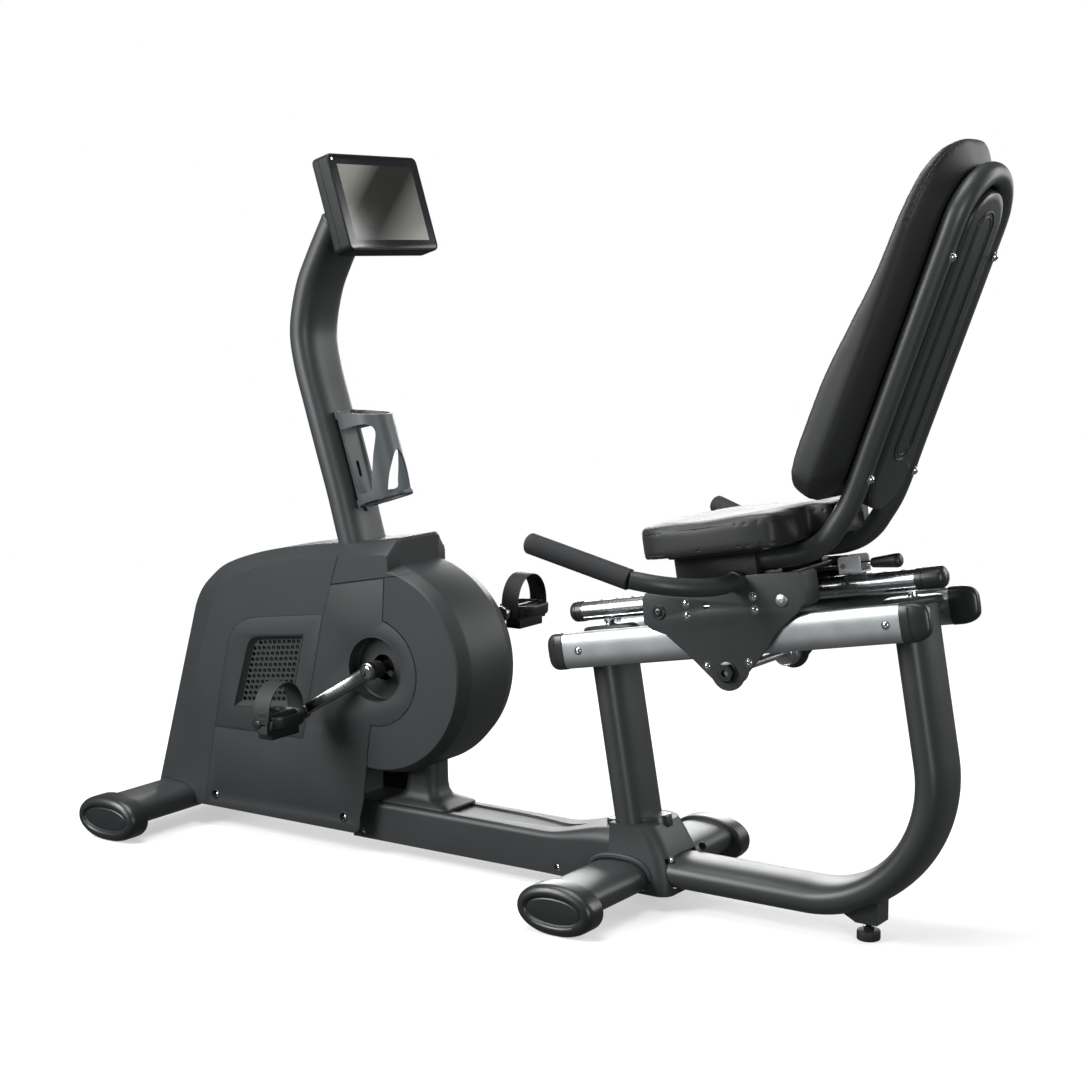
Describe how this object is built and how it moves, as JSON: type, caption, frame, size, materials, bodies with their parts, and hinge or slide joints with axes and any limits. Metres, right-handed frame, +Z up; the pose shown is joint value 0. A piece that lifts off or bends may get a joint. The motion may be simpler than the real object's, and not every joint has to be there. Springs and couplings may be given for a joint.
{
  "type": "recumbent exercise bike",
  "caption": "Recumbent exercise bike: low step-through frame, seat with backrest and side grips sliding on sloped rails, pedals ahead, tilting display on a mast.",
  "frame": {"origin": "bottom centre of the bounding box, on the floor", "axes": "+X from the pedals towards the seat, +Y the rider's right-hand side, +Z up"},
  "size_m": [1.8496, 0.694, 1.3816],
  "materials": {
    "frame_coat": "charcoal metallic powder coat",
    "housing": "fine-grained dark charcoal",
    "cap": "semi-gloss black",
    "grille": "matt black mesh",
    "rail": "satin silver",
    "guide": "brushed, grooved",
    "chrome": "polished",
    "steel": "plain machined",
    "vinyl": "black upholstery vinyl over foam",
    "foam": "closed-cell foam grip",
    "black": "moulded black",
    "cage": "mid grey",
    "screen": "glossy black",
    "belt": "ribbed belt"
  },
  "bodies": {
    "frame": {"front_foot_tube": "frame_coat", "rear_foot_tube": "frame_coat", "front_foot_cap_left": "cap", "front_foot_cap_right": "cap", "rear_foot_cap_left": "cap", "rear_foot_cap_right": "cap", "main_beam": "frame_coat", "seat_post": "frame_coat", "rear_bow_tube": "frame_coat", "beam_cover": "housing", "post_cover": "housing", "drum_support": "housing", "rail_left": "rail", "rail_right": "rail", "rail_cap_front_left": "cap", "rail_cap_front_right": "cap", "rail_cap_rear_left": "cap", "rail_cap_rear_right": "cap", "guide_rail": "guide", "guide_cap_front": "cap", "guide_cap_rear": "cap", "post_plug": "cap", "bow_plug": "cap", "mast": "frame_coat", "bottle_cage": "cage", "grille_left": "grille", "grille_right": "grille", "side_panel_left": "housing", "side_panel_right": "housing", "top_cover": "housing", "drum_cover": "housing", "front_shell": "housing", "inner_frame": "frame_coat", "brake_magnets": "black", "drive_belt": "belt", "display_bracket": "frame_coat"},
    "crank": {"crank_axle": "steel", "drive_pulley": "black", "crank_arm_left": "chrome", "crank_arm_right": "chrome"},
    "pedal_left_body": {"pedal_left": "black", "pedal_strap_left": "black"},
    "pedal_right_body": {"pedal_right": "black", "pedal_strap_right": "black"},
    "flywheel_body": {"flywheel": "steel"},
    "display": {"display_housing": "black", "display_glass": "screen"},
    "carriage": {"carriage_plate_left": "frame_coat", "carriage_plate_right": "frame_coat", "seat_tray": "frame_coat", "seat_pan": "black", "seat_cushion": "vinyl", "backrest_frame": "frame_coat", "backrest_cushion": "vinyl", "backrest_shell": "black", "handle_left": "foam", "handle_right": "foam"},
    "lever": {"lock_lever": "black"},
    "roller": {"lower_roller": "steel"},
    "foot": {"leveling_foot": "black"}
  },
  "joints": [
    {"name": "crank_spin", "type": "hinge", "parent": "frame", "child": "crank", "pos_m": [-0.3013, 0, 0.383], "axis": [0, 1, 0], "continuous": true},
    {"name": "flywheel_spin", "type": "hinge", "parent": "frame", "child": "flywheel_body", "pos_m": [-0.6068, 0, 0.33], "axis": [0, 1, 0], "continuous": true},
    {"name": "left_pedal_spin", "type": "hinge", "parent": "crank", "child": "pedal_left_body", "pos_m": [-0.44468, -0.216, 0.29166], "axis": [0, 1, 0], "continuous": true},
    {"name": "right_pedal_spin", "type": "hinge", "parent": "crank", "child": "pedal_right_body", "pos_m": [-0.15792, 0.216, 0.47434], "axis": [0, 1, 0], "continuous": true},
    {"name": "seat_slide", "type": "slide", "parent": "frame", "child": "carriage", "axis": [0.9845, 0, 0.1754], "range_m": [-0.16, 0.14]},
    {"name": "roller_spin", "type": "hinge", "parent": "carriage", "child": "roller", "pos_m": [0.49822, 0, 0.47297], "axis": [0, 1, 0], "range_deg": [-500, 500]},
    {"name": "lock_lever_turn", "type": "hinge", "parent": "carriage", "child": "lever", "pos_m": [0.66198, 0, 0.65876], "axis": [0, 1, 0], "range_deg": [-18, 0], "stiffness_Nm_per_rad": 0.5, "springref_deg": 20.05},
    {"name": "display_tilt", "type": "hinge", "parent": "frame", "child": "display", "pos_m": [-0.3948, 0, 1.268], "axis": [0, 1, 0], "range_deg": [-20, 10]},
    {"name": "levelling_screw", "type": "slide", "parent": "frame", "child": "foot", "axis": [0, 0, -1], "range_m": [0, 0.012]}
  ],
  "couplings": [
    {"joint": "flywheel_spin", "follows": "crank_spin", "ratio": 4.1667},
    {"joint": "roller_spin", "follows": "seat_slide", "rad_per_m": -40.65}
  ]
}
